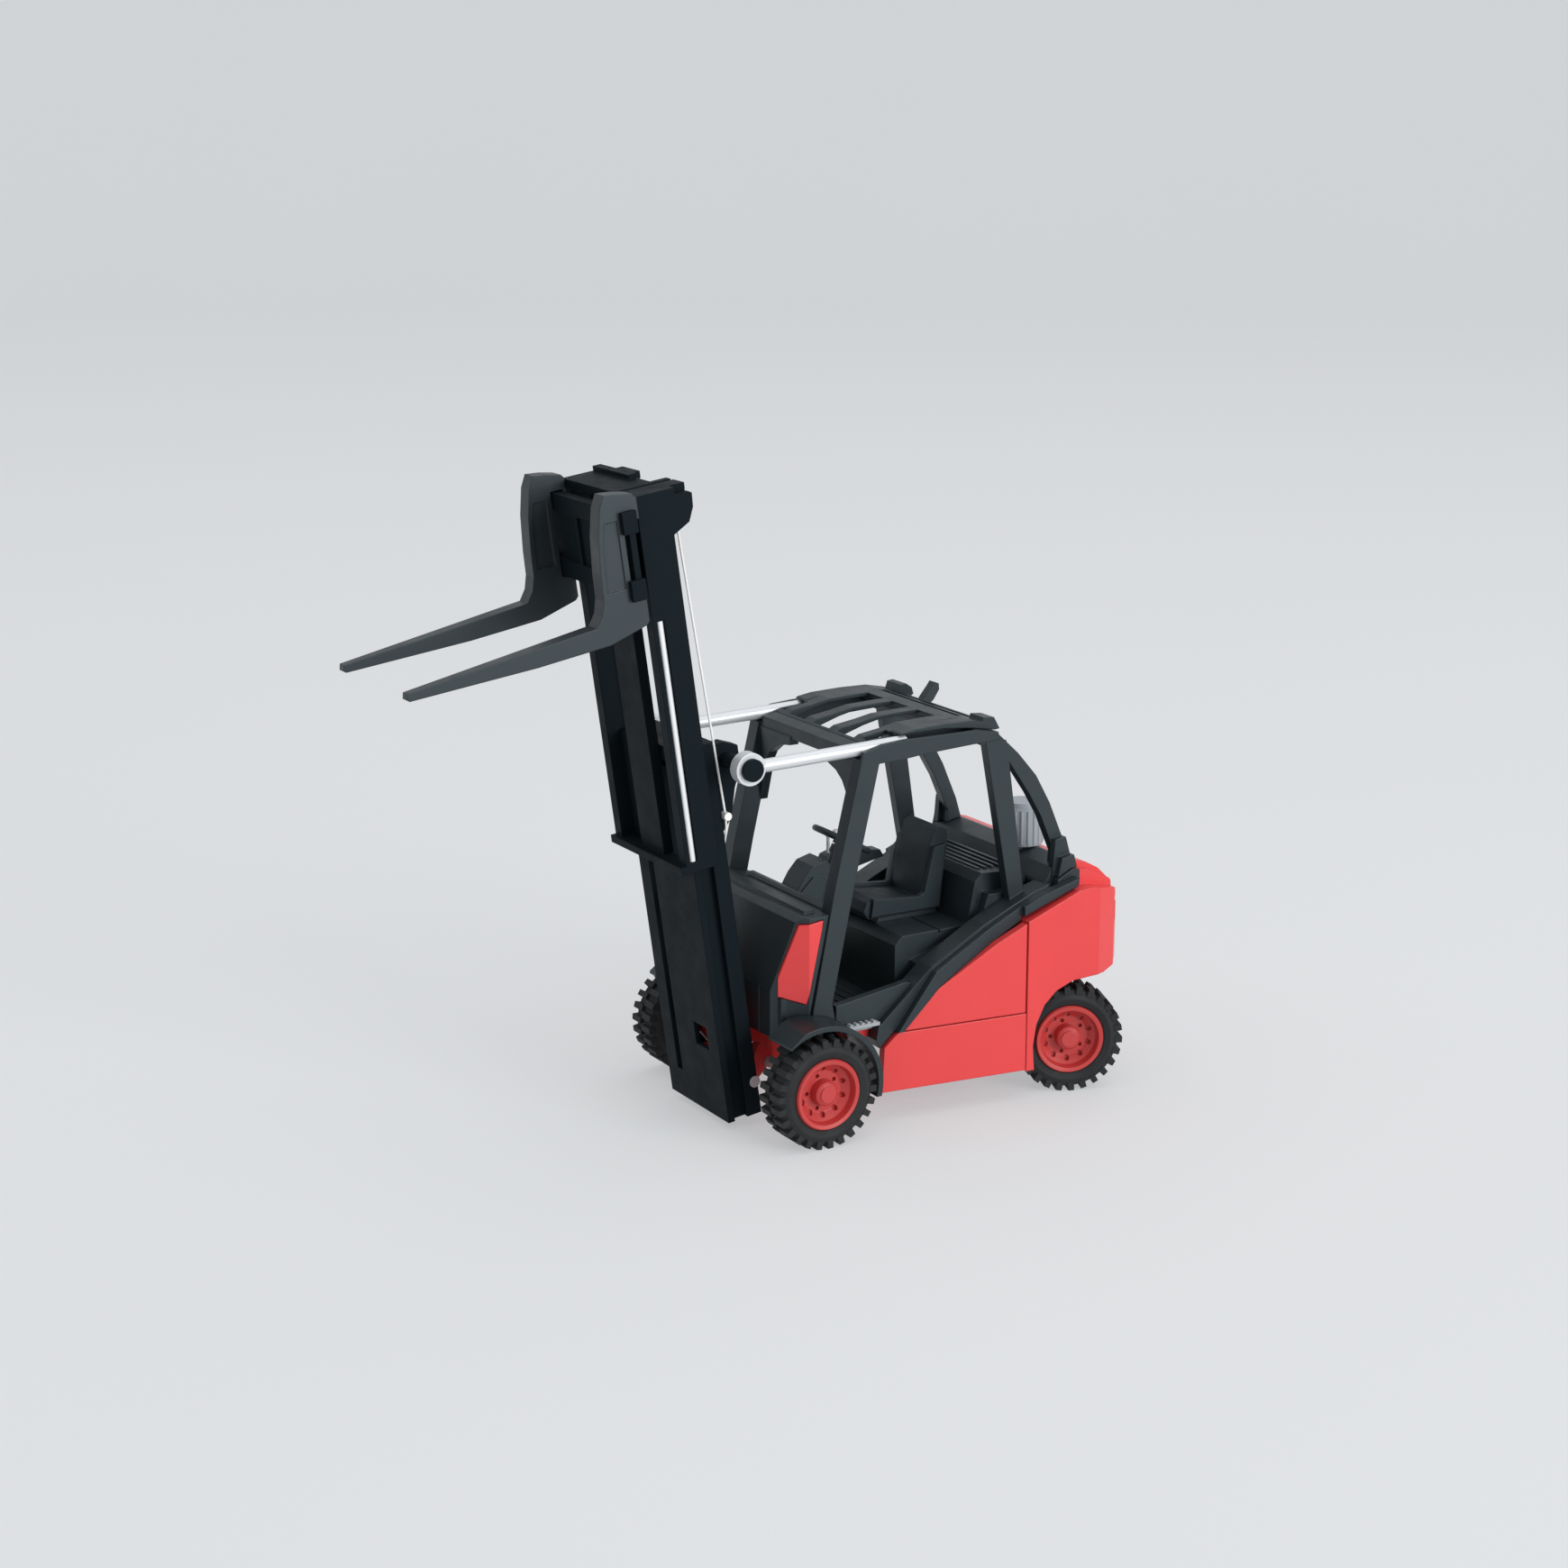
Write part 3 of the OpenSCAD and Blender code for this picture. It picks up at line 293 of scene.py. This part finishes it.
def on_mast(x, v, u):
    """A point in the leaning frame of the mast, millimetres from its pivot, as metres in the row frame."""
    y = v * math.cos(LEAN) - u * math.sin(LEAN)
    z = v * math.sin(LEAN) + u * math.cos(LEAN)
    return (x / 1000, PIVOT[1] + y / 1000, PIVOT[2] + z / 1000)


def arc(x, v, u, r, a0, a1, k):
    """Points on an arc in the side view of the mast, degrees."""
    out = []
    for i in range(k + 1):
        a = math.radians(a0 + (a1 - a0) * i / k)
        out.append(on_mast(x, v + r * math.cos(a), u + r * math.sin(a)))
    return out


def line(p, q, k):
    """Evenly spaced points on the mast between p and q."""
    return [on_mast(*[p[i] + (q[i] - p[i]) * j / k for i in range(3)]) for j in range(k + 1)]


# lift cord: bead, rear run, over the rollers of the head, down to the carriage
HEAD_U = 206.6
LIFT_X = 13.0
low = thread("lift_cord_tail", [
    on_mast(15.6, 1.55, 83.4), on_mast(17.6, 1.6, 86.2), on_mast(19.6, 1.8, 89.6),
    on_mast(20.3, 2.0, 92.6), on_mast(20.3, 2.2, 97.4),
])
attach(low, "mast_outer")
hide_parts("lift_cord")

rear = thread("lift_cord_rear", line((20.3, 2.2, 97.4), (LIFT_X, 2.12, HEAD_U - 0.8), 30))
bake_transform(rear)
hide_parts("lift_cord")

rear_roller = arc(LIFT_X, 0.1, HEAD_U, 2.06, 14, 90, 6)
front_roller = arc(LIFT_X, -12.9, HEAD_U, 2.06, 90, 168, 6)
top = thread("lift_cord_top", [on_mast(LIFT_X, 2.12, HEAD_U - 0.8)] + rear_roller
             + front_roller + [on_mast(LIFT_X, -15.0, HEAD_U - 1.2)])
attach(top, "mast_inner")
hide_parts("lift_cord")

front = thread("lift_cord_front",
               line((LIFT_X, -15.0, HEAD_U - 1.2), (LIFT_X, -15.3, 197.8), 12), step=0.0004)
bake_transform(front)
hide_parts("lift_cord")

# mast cord: up inside the outer mast, over its guide bar, down to the inner mast
GUIDE_U = 113.0
MAST_X = -11.2
rise = thread("mast_cord_rise", [
    on_mast(0, 0.8, 5.1), on_mast(-1.5, -1.4, 6.8), on_mast(-5, -3.4, 9.4),
    on_mast(-9, -4.4, 12.6), on_mast(-10.8, -4.6, 15.4),
] + line((MAST_X, -4.6, 19), (MAST_X, -4.3, GUIDE_U - 2), 12) + arc(MAST_X, -6.6, GUIDE_U, 2.32, 0, 180, 10))
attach(rise, "mast_outer")
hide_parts("mast_cord")

drop = thread("mast_cord_drop", line((MAST_X, -8.92, GUIDE_U), (MAST_X, -10.4, 86.8), 16), step=0.0004)
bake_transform(drop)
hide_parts("mast_cord")


# ---------------------------------------------------------------- stage
def bowl():
    """One seamless floor that curves up into a round wall."""
    flat, bend = 3.15, 0.9
    prof = [(0.35 * (i + 1), 0.0) for i in range(9)]
    for i in range(1, 17):
        a = math.radians(90 * i / 16)
        prof.append((flat + bend * math.sin(a), bend - bend * math.cos(a)))
    for i in range(1, 5):
        prof.append((flat + bend, bend + 0.6 * i))
    n = 96
    verts = [(0, 0, 0)]
    for r, z in prof:
        for k in range(n):
            a = 2 * math.pi * k / n
            verts.append((r * math.cos(a), r * math.sin(a), z))
    faces = [(0, 1 + k, 1 + (k + 1) % n) for k in range(n)]
    for i in range(len(prof) - 1):
        for k in range(n):
            a = 1 + i * n + k
            b = 1 + i * n + (k + 1) % n
            faces.append((a, a + n, b + n, b))
    me = bpy.data.meshes.new("stage_bowl")
    me.from_pydata(verts, [], faces)
    me.update()
    for f in me.polygons:
        f.use_smooth = True
    o = bpy.data.objects.new("stage_bowl", me)
    scene.collection.objects.link(o)
    m, t, b = principled("stage_paper")
    two_tone(t, b, noise(t, 3.0, 4.0), (0.296, 0.300, 0.304), (0.304, 0.308, 0.312))
    b.inputs["Roughness"].default_value = 0.9
    b.inputs["Specular IOR Level"].default_value = 0.1
    # the paper glows a little, as a seamless white cove lit from all sides does
    b.inputs["Emission Color"].default_value = (0.725, 0.742, 0.760, 1)
    b.inputs["Emission Strength"].default_value = 0.555
    me.materials.append(m)
    o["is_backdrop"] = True


bowl()


def area(name, at, to, size, power):
    """A soft rectangular light at one place, facing another."""
    d = bpy.data.lights.new(name, "AREA")
    d.shape = "RECTANGLE"
    d.size, d.size_y = size
    d.energy = power
    o = bpy.data.objects.new(name, d)
    scene.collection.objects.link(o)
    o.location = at
    o.rotation_euler = (Vector(to) - Vector(at)).to_track_quat("-Z", "Y").to_euler()


area("top_softbox", (0.0, 0.3, 2.4), (0, 0, 0.05), (3.4, 3.4), 29)
area("left_softbox", (-0.9, -2.1, 1.5), (0, 0, 0.1), (1.2, 1.0), 3)
area("right_softbox", (2.2, 0.75, 0.8), (0, 0, 0.1), (1.3, 1.2), 38)
world = bpy.data.worlds.new("studio")
scene.world = world
world.use_nodes = True
world.node_tree.nodes["Background"].inputs["Color"].default_value = (0.74, 0.75, 0.765, 1)
world.node_tree.nodes["Background"].inputs["Strength"].default_value = 0.75

# ---------------------------------------------------------------- camera
CAMERA_AT = (0.834415, -0.483996, 0.358818)
CAMERA_FORWARD = (-0.83228, 0.49740, -0.24476)
cam_data = bpy.data.cameras.new("camera")
cam_data.sensor_width = 36.0
cam_data.lens = 67.11
cam_data.clip_start = 0.02
cam_data.clip_end = 30.0
cam = bpy.data.objects.new("camera", cam_data)
scene.collection.objects.link(cam)
forward = Vector(CAMERA_FORWARD).normalized()
right = forward.cross(Vector((0, 0, 1))).normalized()
up = right.cross(forward)
cam.matrix_world = Matrix((
    (right.x, up.x, -forward.x, CAMERA_AT[0]),
    (right.y, up.y, -forward.y, CAMERA_AT[1]),
    (right.z, up.z, -forward.z, CAMERA_AT[2]),
    (0, 0, 0, 1),
))
scene.camera = cam
scene.view_settings.view_transform = "Standard"
scene.view_settings.look = "None"


def plain(b):
    """Bounds as plain lists and numbers that can be written out."""
    if isinstance(b, dict):
        return {str(k): plain(v) for k, v in b.items()}
    if isinstance(b, (list, tuple)):
        return [plain(v) for v in b]
    if isinstance(b, (Vector, np.ndarray)):
        return [float(v) for v in b]
    return b


{"before": plain(before), "after": plain(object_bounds())}
